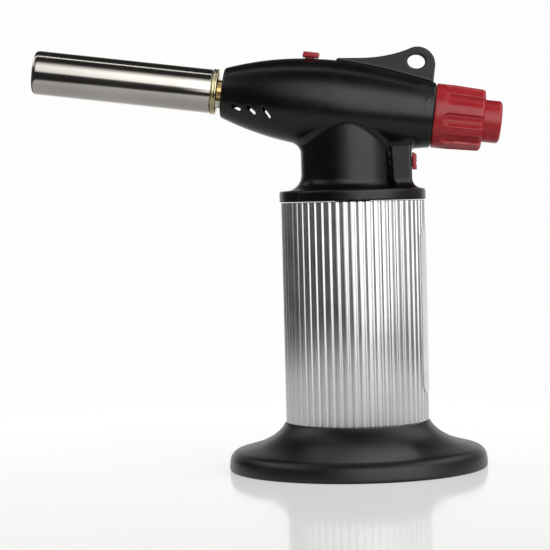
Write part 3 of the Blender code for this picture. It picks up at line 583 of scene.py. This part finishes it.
def make_sleeve():
    """The drawn sleeve: crowned ribs between narrow rounded grooves.

    across is one rib: shares of the pitch, and how far the surface lies below the rib's crown.
    """
    pitch = 2 * math.pi / RIBS
    across = [(0.00, 0.00), (0.10, 0.03), (0.20, 0.08), (0.26, 0.20), (0.30, 0.42), (0.35, 0.56),
              (0.42, 0.60), (0.50, 0.60), (0.57, 0.56), (0.62, 0.42), (0.66, 0.20), (0.72, 0.08),
              (0.82, 0.03), (0.92, 0.00)]
    steps = [((share + i) * pitch, dip) for i in range(RIBS) for share, dip in across]
    angle = np.array([a for a, _ in steps])
    dip = np.array([d for _, d in steps])
    bottom, top, bore = sleeve_low[2], sleeve_high[2], SLEEVE_R - 0.9
    levels = [(bore, 0, bottom), (SLEEVE_R - 0.25, 1, bottom), (SLEEVE_R - 0.07, 1, bottom + 0.07),
              (SLEEVE_R, 1, bottom + 0.25), (SLEEVE_R, 1, (bottom + top) / 2), (SLEEVE_R, 1, top - 0.25),
              (SLEEVE_R - 0.07, 1, top - 0.07), (SLEEVE_R - 0.25, 1, top), (bore, 0, top)]
    rows = []
    for radius, ribbed, height in levels:
        reach = np.maximum(radius - dip * ribbed, bore)
        rows.append(np.stack([reach * np.cos(angle), reach * np.sin(angle), np.full(len(angle), height)], 1))
    points = grip_to_row(np.concatenate(rows))
    mesh_piece("ribbed_sleeve", points, grid_faces(len(rows), len(angle), wrap_rows=True),
               LOOKS["ribbed_aluminium"], nodes=["grip_sleeve"], sharp=50.0)


def make_base():
    """The weighted foot: a concave flare, a soft crease and a rounded rim."""
    flare = bend((29.0, BASE_TOP), (32.5, 12.0), (44.0, 9.0), 18)
    rim = bend((47.6, 8.05), (50.9, 7.2), (51.3, 3.8), 14)
    side = [(51.45, 2.6), (BASE_R, 1.5)] + bend((BASE_R, 1.0), (51.4, 0.0), (50.7, 0.0), 5)
    under = rounded([(50.7, 0.0), (48.6, 0.0), (48.6, 3.6), (42.8, 6.6), (35.5, 8.9), (31.4, 11.0),
                     (29.9, 12.0), (29.9, 14.6), (27.6, 14.6), (27.6, BASE_TOP), (29.0, BASE_TOP)], 0.5,
                    steps=3)
    profile = flare + rim + side[:-1] + under[:-1]
    points, faces = turned(profile, 200)
    mesh_piece("flared_foot", points, faces, LOOKS["base_plastic"], nodes=["base_foot"],
               sharp=32.0)


def make_base_cover():
    """The snap-in plate that closes the foot, with the skirt round the refill valve."""
    skirt, low, high, top = 13.4, 0.5, 2.1, 13.7
    outline = rounded([(30.0, low), (48.2, low), (48.2, high), (skirt, high), (skirt, top), (12.0, top),
                       (12.0, low), (30.0, low)], [0, 0.5, 0.5, 0.6, 0.4, 0.4, 0.8, 0], steps=4)[:-1]
    points, faces = turned(outline, 160)
    mesh_piece("snap_in_cover", points, faces, LOOKS["base_plastic"], nodes=["base_cover"],
               sharp=35.0)


def make_label():
    """The plain film on the back of the grip, with rounded corners."""
    low, high = 30.0, 95.0
    outside, thick, half_turn, corner = SLEEVE_R + 0.35, 0.3, math.radians(22), 3.0
    rows = []
    heights = np.concatenate([low + corner * (1 - np.cos(np.linspace(0, math.pi / 2, 7))),
                              np.linspace(low + corner, high - corner, 8)[1:-1],
                              high - corner * (1 - np.cos(np.linspace(math.pi / 2, 0, 7)))])
    for height in heights:
        drop = max(low + corner - height, height - high + corner, 0.0)
        inset = corner - math.sqrt(max(corner ** 2 - drop ** 2, 0.0))
        half = half_turn - inset / outside
        turn = np.linspace(-half, half, 40)
        front = [(outside * math.cos(a), outside * math.sin(a), height) for a in turn]
        back = [((outside - thick) * math.cos(a), (outside - thick) * math.sin(a), height)
                for a in turn[::-1]]
        rows.append(front + back)
    count = len(rows[0])
    points = grip_to_row(np.concatenate([np.array(r) for r in rows]))
    faces = grid_faces(len(rows), count, wrap_rows=False)
    faces += [tuple(range(count))[::-1], tuple(range((len(rows) - 1) * count, len(rows) * count))]
    mesh_piece("plain_label", points, faces, LOOKS["label_film"], nodes=["rear_label"],
               sharp=35.0)


# ---- burner ---------------------------------------------------------------

NOZZLE_S = -127.3
TUBE_R = 8.8
TUBE_END_S = -55.4
MIXER_R = 4.9


def make_burner():
    """The flame tube with its rolled mouth, and the ring at its root with two beads."""
    wall = TUBE_R - 0.7
    lip = (bend((wall, NOZZLE_S + 3.0), (wall, NOZZLE_S + 0.9), (wall - 0.8, NOZZLE_S + 0.45), 6)
           + bend((wall - 0.75, NOZZLE_S + 0.12), (wall - 0.1, NOZZLE_S), (TUBE_R - 0.55, NOZZLE_S + 0.2), 5)
           + bend((TUBE_R - 0.45, NOZZLE_S + 0.3), (TUBE_R, NOZZLE_S + 0.8), (TUBE_R, NOZZLE_S + 1.9), 6))
    end = rounded([(TUBE_R, -70.0), (TUBE_R, TUBE_END_S - 0.3), (wall, TUBE_END_S - 0.3),
                   (wall, -70.0)], 0.2)
    points, faces = turned(lip + end, 144, along_burner=True)
    mesh_piece("flame_tube", points, faces, LOOKS["burner_steel"], nodes=["burner_tube"],
               sharp=35.0)

    s = TUBE_END_S
    bore, plug = MIXER_R + 0.3, wall - 0.3
    beads = [(9.0, s)]
    beads += [(r, h) for h, r in arc(s + 0.55, 8.75, 0.5, 180, 20, 7)]
    beads += [(r, h) for h, r in arc(s + 1.6, 8.75, 0.5, 160, 0, 7)]
    outline = rounded([(bore, s - 1.8), (plug, s - 1.8), (plug, s)], 0.2) + beads
    outline += [(8.5, s + 2.2), (bore, s + 2.2)]
    points, faces = turned(outline, 128, along_burner=True)
    mesh_piece("mounting_ring", points, faces, LOOKS["nickel"], nodes=["burner_ring"],
               sharp=32.0)


# ---- knob, button and the two catches -------------------------------------

KNOB_R = 12.8
KNOB_REAR_S = 52.9
FLUTES = 9
BUTTON_R = 8.4
BUTTON_REAR_S = 60.2


def make_knob():
    """The flame knob: nine scooped grips that run out at its rear."""
    front, rear = KNOB_FRONT_S, KNOB_REAR_S
    collar = front - 0.22
    edge = rounded([(11.4, collar), (12.2, collar), (12.2, front), (KNOB_R, front), (KNOB_R, front + 3.0),
                    (12.05, rear), (8.9, rear)], [0, 0.05, 0, 0.4, 8.0, 1.5, 0], steps=10)
    outline = np.array(edge)
    length = np.concatenate([[0], np.cumsum(np.hypot(*np.diff(outline, axis=0).T))])
    stations = np.linspace(0, length[-1], 96)
    radius = np.interp(stations, length, outline[:, 0])
    along = np.interp(stations, length, outline[:, 1])
    columns = FLUTES * 48
    angle = np.linspace(0, 2 * math.pi, columns, endpoint=False)
    pitch = 2 * math.pi / FLUTES
    across = (np.mod(angle + math.radians(-7), pitch) - pitch / 2) * KNOB_R
    half_w, start, depth, wall = 2.7, front + 3.2, 1.15, 0.55
    rows = []
    for r, s in zip(radius, along):
        behind = max(start + half_w - s, 0.0)
        inside = half_w - np.hypot(across, behind)
        share = np.clip(inside / wall, 0, 1)
        share = share * share * (3 - 2 * share)
        scoop = depth * share * (0.72 + 0.28 * np.clip(inside / half_w, 0, 1))
        fade = np.clip((r - 9.4) / 1.2, 0, 1)
        lip = 0.16 * np.exp(-((inside + 0.25) / 0.3) ** 2) * fade
        reach = np.minimum(r - scoop * fade + lip, KNOB_R)
        rows.append(np.stack([np.full(columns, s), reach * np.cos(angle), reach * np.sin(angle)], axis=1))
    bore, floor = BUTTON_R + 0.3, front + 2.0
    for r, s in ((bore, rear - 0.2), (bore, floor), (5.7, floor), (5.7, front)):
        rows.append(np.stack([np.full(columns, s), r * np.cos(angle), r * np.sin(angle)], axis=1))
    points = burner_to_row(np.concatenate(rows))
    mesh_piece("fluted_knob", points, grid_faces(len(rows), columns, wrap_rows=True), LOOKS["red_plastic"],
               body="knob", nodes=["flame_knob"], sharp=40.0)


def make_button():
    """The ignition button: a domed cup with a post that presses the igniter."""
    rear, r = BUTTON_REAR_S, BUTTON_R
    outline = bend((0.0, rear), (r * 0.5, rear), (r - 1.5, rear - 0.25), 6)
    outline += bend((r - 1.4, rear - 0.28), (r, rear - 0.5), (r, rear - 1.9), 9)[1:]
    outline += rounded([(r, 47.0), (r, 40.2), (r - 1.6, 40.2), (r - 1.6, rear - 2.2), (3.4, rear - 2.2),
                        (3.4, 46.3), (0.0, 46.3)], 0.25)
    points, faces = turned(outline, 120, along_burner=True)
    mesh_piece("push_button", points, faces, LOOKS["red_plastic"], body="button", nodes=["ignition_button"],
               sharp=40.0)


def soft_plate(outline, half_w, edge, to_row):
    """Points and faces of a plate with rounded edges; outline is a closed (a, b) loop.

    The plate spans y from -half_w to half_w; its sides are drawn in by edge.
    """
    loop = np.array(outline)
    middle = loop.mean(axis=0)
    size = np.abs(loop - middle).max(axis=0)
    sections = []
    for turn in np.linspace(0, math.pi / 2, 6):
        sections.append((half_w - edge * (1 - math.sin(turn)), edge * (1 - math.cos(turn))))
    spans = [(-y, inset) for y, inset in sections[::-1]]
    spans += [(y, 0.0) for y in np.linspace(-half_w + edge, half_w - edge, 7)[1:-1]]
    spans += [(y, inset) for y, inset in sections]
    spans.sort(key=lambda span: span[0])
    rows = []
    for y, inset in spans:
        ring = middle + (loop - middle) * (1 - inset / size)
        rows.append(np.stack([ring[:, 0], np.full(len(ring), y), ring[:, 1]], axis=1))
    count = len(loop)
    faces = grid_faces(len(rows), count, wrap_rows=False)
    faces += [tuple(range(count))[::-1], tuple(range((len(rows) - 1) * count, len(rows) * count))]
    return to_row(np.concatenate(rows)), faces


BLOCK_FACES = [(0, 3, 2, 1), (4, 5, 6, 7), (0, 1, 5, 4), (1, 2, 6, 5), (2, 3, 7, 6), (3, 0, 4, 7)]


def joined(parts):
    """Several (points, faces) pairs as one."""
    points, faces, start = [], [], 0
    for some, made in parts:
        points.append(np.asarray(some))
        faces += [tuple(i + start for i in face) for face in made]
        start += len(some)
    return np.concatenate(points), faces


def make_controls():
    """The lock slide on top and the safety catch behind, each on its CAD piece's stem."""
    cap = rounded([(-17.0, 17.6), (-21.1, 17.45), (-20.8, 19.6), (-14.5, 19.6), (-14.7, 17.65),
                   (-17.0, 17.6)], 0.35, steps=5)[:-1]
    points, faces = soft_plate(cap, 4.0, 0.4, burner_to_row)
    stem = burner_to_row([(a, y, t) for t in (13.0, 18.2) for a, y in
                          ((-20.0, -2.2), (-16.5, -2.2), (-16.5, 2.2), (-20.0, 2.2))])
    foot = burner_to_row([(a, y, t) for t in (12.1, 13.4) for a, y in
                          ((-20.9, -4.0), (-14.3, -4.0), (-14.3, 4.0), (-20.9, 4.0))])
    points, faces = joined([(points, faces), (stem, BLOCK_FACES), (foot, BLOCK_FACES)])
    mesh_piece("lock_thumb_slide", points, faces, LOOKS["red_plastic"], body="lock", nodes=["lock_slide"],
               sharp=35.0)

    x = BOSS_X + 0.3
    face = rounded([(x, 121.0), (x, 118.2), (25.8, 118.2), (25.8, 120.0), (25.6, 120.4), (25.6, 120.9),
                    (25.8, 121.3), (25.8, 124.2), (x, 125.2), (x, 121.0)], 0.3, steps=5)[:-1]
    points, faces = soft_plate(face, 4.0, 0.4, grip_to_row)
    stem = grip_to_row([(a, y, z) for z in (119.2, 123.4) for a, y in
                        ((20.5, -2.2), (25.0, -2.2), (25.0, 2.2), (20.5, 2.2))])
    foot = grip_to_row([(a, y, z) for z in (118.0, 124.8) for a, y in
                        ((19.0, -4.0), (21.4, -4.0), (21.4, 4.0), (19.0, 4.0))])
    points, faces = joined([(points, faces), (stem, BLOCK_FACES), (foot, BLOCK_FACES)])
    mesh_piece("trigger_safety_catch", points, faces, LOOKS["red_plastic"], body="catch",
               nodes=["safety_catch"], sharp=35.0)


# ---- springs --------------------------------------------------------------

SPRINGS = [("catch_return_spring", "catch_spring", "catch", "z", 1),
           ("refill_stem_spring", "filler_spring", "refill_stem", "z", -1),
           ("button_return_spring", "button_spring", "button", "burner", 1)]


def make_springs():
    """The CAD's coils again, as fixed pieces that ride on no body."""
    for name, part, body, along, way in SPRINGS:
        coil = frame["nodes"][part]
        points = np.array([list(coil.matrix_world @ v.co) for v in coil.data.vertices]) / MM
        faces = [tuple(face.vertices) for face in coil.data.polygons]
        piece = mesh_piece(name, points, faces, LOOKS["steel"], body=None, nodes=[part],
                           sharp=60.0)
        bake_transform(piece)


# ---- carried-over CAD pieces ----------------------------------------------

CARRIED = {
    "brass": ["filler_stem", "filler_valve_body", "gas_jet", "gas_tube", "mixer_tube", "riser_tube",
              "valve_body", "valve_pinion", "valve_spindle"],
    "steel": ["base_screw_1", "base_screw_2", "base_screw_3", "electrode_wire", "flame_holder",
              "housing_screw_1", "housing_screw_2", "housing_screw_3", "housing_screw_4"],
    "seal_rubber": ["filler_seal", "tank_seal"],
    "tank_plastic": ["fuel_pickup_tube", "fuel_tank", "tank_lid"],
    "ceramic": ["electrode_insulator"],
    "piezo_case": ["piezo_igniter", "piezo_plunger"],
    "lead_sleeve": ["igniter_lead"],
    "red_plastic": ["knob_gear"],
    "base_plastic": ["base_floor"],
}


def dress_carried_pieces():
    """The other CAD pieces stay as they are and take these materials."""
    for look, names in CARRIED.items():
        for name in names:
            piece = frame["nodes"][name]
            for slot in piece.material_slots:
                slot.material = LOOKS[look]


# ---- studio ---------------------------------------------------------------

# how bright each source is, as the surfaces reflect it
WINDOW_LIGHT = 2.0             # the large soft window above and to the right of the camera
UPPER_LIGHT = 1.3              # high panels to the left and to the right
STRIP_LIGHT = 2.0              # a thin tube overhead, which draws a line along the burner
BACKDROP_LIGHT = 1.0
RIGHT_LIGHT = 0.28
LEFT_LIGHT = 0.04
ROOM_LIGHT = 0.02
TABLE_PAINTED_GLOW = 0.14              # painted light: the table glows from straight above, which keeps the shadows faint
TABLE_PAINTED_SHEEN = 0.45             # and this is its painted sheen: a glow at a slant that stands in for light it reflects


def make_world():
    """The light from each direction: x is to the right, y away from the camera and z up.

    rise is the angle above the horizon in front of the object, over its top and on to the rear.
    The camera sees a plain white instead.
    """
    world = bpy.data.worlds.new("studio")
    world.use_nodes = True
    bpy.context.scene.world = world
    tree = world.node_tree
    out = tree.nodes["World Output"]
    shader = tree.nodes["Background"]
    way = node(tree, "SeparateXYZ", {0: node(tree, "TexCoord").outputs["Generated"]})
    x, y, z = way.outputs
    ahead = node(tree, "Math", {0: y, 1: -1.0}, operation="MULTIPLY").outputs[0]
    rise = node(tree, "Math", {0: z, 1: ahead}, operation="ARCTAN2").outputs[0]

    def product(*values):
        found = values[0]
        for value in values[1:]:
            found = node(tree, "Math", {0: found, 1: value}, operation="MULTIPLY").outputs[0]
        return found

    def total(*values):
        found = values[0]
        for value in values[1:]:
            found = node(tree, "Math", {0: found, 1: value}, operation="ADD").outputs[0]
        return found

    # the window's left edge leans, and its right edge is shared with the sill below it
    lift = node(tree, "Clamp", {"Value": z, "Min": -0.05, "Max": 0.15}).outputs[0]
    side = total(x, lift, lift)
    right_edge = scaled(tree, x, 0.80, 0.99, 1, 0.15)
    window = product(scaled(tree, rise, -0.10, 0.10, 0, 1), scaled(tree, rise, 0.58, 1.15, 1, 0),
                     scaled(tree, side, -0.17, 0.40, 0, 1), right_edge, WINDOW_LIGHT)
    sill = product(scaled(tree, rise, -0.26, -0.12, 0, 1), scaled(tree, rise, -0.10, 0.10, 1, 0),
                   scaled(tree, x, -0.10, 0.15, 0, 1), right_edge, scaled(tree, y, -0.1, 0.1, 1, 0),
                   WINDOW_LIGHT)
    backdrop = product(scaled(tree, y, 0.70, 0.93, 0, 1), scaled(tree, z, 0.18, 0.42, 1, 0.10),
                       BACKDROP_LIGHT)
    right = product(scaled(tree, x, 0.45, 0.85, 0, 1), scaled(tree, z, -0.2, 0.05, 0.5, 1),
                    scaled(tree, z, 0.35, 0.6, 1, 0), RIGHT_LIGHT)
    left = product(scaled(tree, x, -0.95, -0.45, 1, 0), LEFT_LIGHT)
    strip = product(scaled(tree, rise, 1.60, 1.65, 0, 1), scaled(tree, rise, 1.70, 1.75, 1, 0),
                    scaled(tree, x, -0.5, 0.5, 1, 0.5), STRIP_LIGHT)
    upper_left = product(scaled(tree, x, -0.80, -0.40, 1, 0), scaled(tree, z, 0.40, 0.65, 0, 1), UPPER_LIGHT)
    upper_right = product(scaled(tree, x, 0.30, 0.60, 0, 1), scaled(tree, z, 0.40, 0.60, 0, 1),
                          scaled(tree, z, 0.80, 0.92, 1, 0), UPPER_LIGHT)
    light = total(window, sill, backdrop, right, left, strip, upper_left, upper_right, ROOM_LIGHT)
    tree.links.new(light, shader.inputs["Strength"])
    shader.inputs["Color"].default_value = (1.0, 0.985, 0.965, 1)
    seen = node(tree, "Background", {"Color": (0.985, 0.985, 0.985, 1), "Strength": 1.0})
    eye = node(tree, "LightPath").outputs["Is Camera Ray"]
    both = node(tree, "MixShader", {0: eye, 1: shader.outputs[0], 2: seen.outputs[0]})
    tree.links.new(both.outputs[0], out.inputs["Surface"])


def make_floor():
    """A pale glossy table just under the base, which fades out round the object; its glow is painted light
    that lightens its shadows.
    """
    reach, rings, sides, height = 900.0, 24, 96, -0.05
    angle = np.linspace(0, 2 * math.pi, sides, endpoint=False)
    rows = []
    for i in range(rings + 1):
        r = reach * (i / rings) ** 1.5
        rows.append(np.stack([r * np.cos(angle), r * np.sin(angle), np.full(sides, height)], axis=1))
    look = bpy.data.materials.new("pale_table")
    look.use_nodes = True
    tree = look.node_tree
    shader = tree.nodes["Principled BSDF"]
    place = node(tree, "TexCoord").outputs["Object"]
    tone = tinted(tree, noise(tree, place, 60.0), (0.44, 0.44, 0.437), (0.47, 0.47, 0.467))
    tree.links.new(tone, shader.inputs["Base Color"])
    tree.links.new(scaled(tree, noise(tree, place, 6.0), 0.3, 0.7, 0.09, 0.13), shader.inputs["Roughness"])
    shader.inputs["Specular IOR Level"].default_value = 0.06
    shader.inputs["Emission Color"].default_value = (1.0, 0.995, 0.985, 1)
    # painted light: the table's emission, stronger at a slant, lightens its shadows and stands in for its
    # sheen
    slant = node(tree, "LayerWeight", {"Blend": 0.5}).outputs["Facing"]
    painted_glow = scaled(tree, slant, 0.0, 0.85, TABLE_PAINTED_GLOW, TABLE_PAINTED_SHEEN)
    tree.links.new(painted_glow, shader.inputs["Emission Strength"])
    far = node(tree, "VectorMath", {0: place}, operation="LENGTH").outputs["Value"]
    clear = node(tree, "BsdfTransparent")
    fade = node(tree, "MixShader", {0: scaled(tree, far, 0.21, 0.31, 0, 1), 1: shader.outputs[0],
                                    2: clear.outputs[0]})
    tree.links.new(fade.outputs[0], tree.nodes["Material Output"].inputs["Surface"])
    faces = grid_faces(len(rows), sides, wrap_rows=False)
    table = mesh_piece("pale_table", np.concatenate(rows), faces, look, body=None)


def make_camera():
    """The photograph's view: a long lens, a little above the collar's height."""
    target = Vector((0.0017, 0.0, 0.0775))
    distance, turn, drop, roll = 0.80, math.radians(3.0), math.radians(1.9), math.radians(1.42)
    away = Vector((math.sin(turn), -math.cos(turn), math.tan(drop)))
    data = bpy.data.cameras.new("camera")
    data.lens = 131.0
    data.sensor_width = 36.0
    data.clip_start = 0.01
    camera = bpy.data.objects.new("camera", data)
    bpy.context.scene.collection.objects.link(camera)
    facing = (-away).to_track_quat("-Z", "Y").to_matrix().to_4x4()
    place = Matrix.Translation(target + away * distance)
    camera.matrix_world = place @ facing @ Matrix.Rotation(-roll, 4, "Z")
    bpy.context.scene.camera = camera


bpy.context.scene.view_settings.view_transform = "Standard"
make_camera()
make_world()
make_floor()
make_housing("near", -1)
make_housing("far", 1)
make_sleeve()
make_base()
make_base_cover()
make_label()
make_burner()
make_knob()
make_button()
make_controls()
make_springs()
dress_carried_pieces()

bpy.context.view_layer.update()
